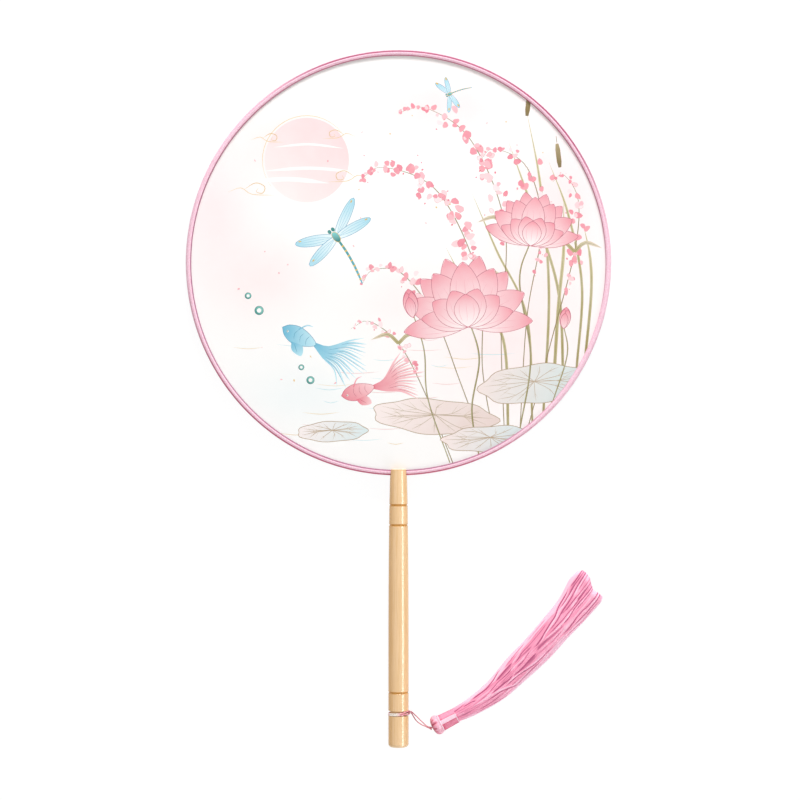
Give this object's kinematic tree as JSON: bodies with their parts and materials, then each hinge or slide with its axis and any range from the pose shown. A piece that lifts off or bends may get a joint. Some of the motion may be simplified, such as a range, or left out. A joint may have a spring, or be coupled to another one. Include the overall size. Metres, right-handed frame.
{
  "type": "round hand fan",
  "caption": "Rigid round hand fan: cloth leaf on a wire hoop with a ribbon-bound rim, a turned wooden handle and a thread tassel on a doubled string.",
  "frame": {"origin": "middle of the fan's own box, at the bottom: the height of the table it lies on, without the string and tassel", "axes": "+Z out of the leaf's printed front face, +Y from the handle to the leaf along the handle's axis, +X to the right seen from the front"},
  "size_m": [0.232, 0.38, 0.0112],
  "materials": {
    "wire": "drawn iron wire",
    "leaf_cloth": "fine plain-weave cloth, printed",
    "ribbon": "woven ribbon with a soft sheen",
    "handle_wood": "clear lacquer",
    "glue": "set glue",
    "string": "twisted thread",
    "tassel_thread": "glossy thread",
    "pale_thread": "glossy thread",
    "satin": "satin",
    "core_thread": "bound thread"
  },
  "bodies": {
    "fan": {"hoop_wire": "wire", "leaf_front": "leaf_cloth", "leaf_back": "leaf_cloth", "edge_binding": "ribbon", "handle": "handle_wood", "glue_plug": "glue"},
    "cord": {"tassel_cord": "string", "cord_knot": "string"},
    "tassel": {"tassel_cap": "tassel_thread", "tassel_collar": "pale_thread", "tassel_sleeve": "satin", "tassel_core": "core_thread", "tassel_skirt": "tassel_thread"}
  },
  "joints": [
    {"name": "cord_turn", "type": "hinge", "parent": "fan", "child": "cord", "pos_m": [0, -0.171, 0.00555], "axis": [0, 1, 0], "continuous": true},
    {"name": "tassel_swing", "type": "hinge", "parent": "cord", "child": "tassel", "pos_m": [0.0176, -0.1797, 0.00585], "axis": [0, 0, 1], "range_deg": [-130, 35]}
  ]
}
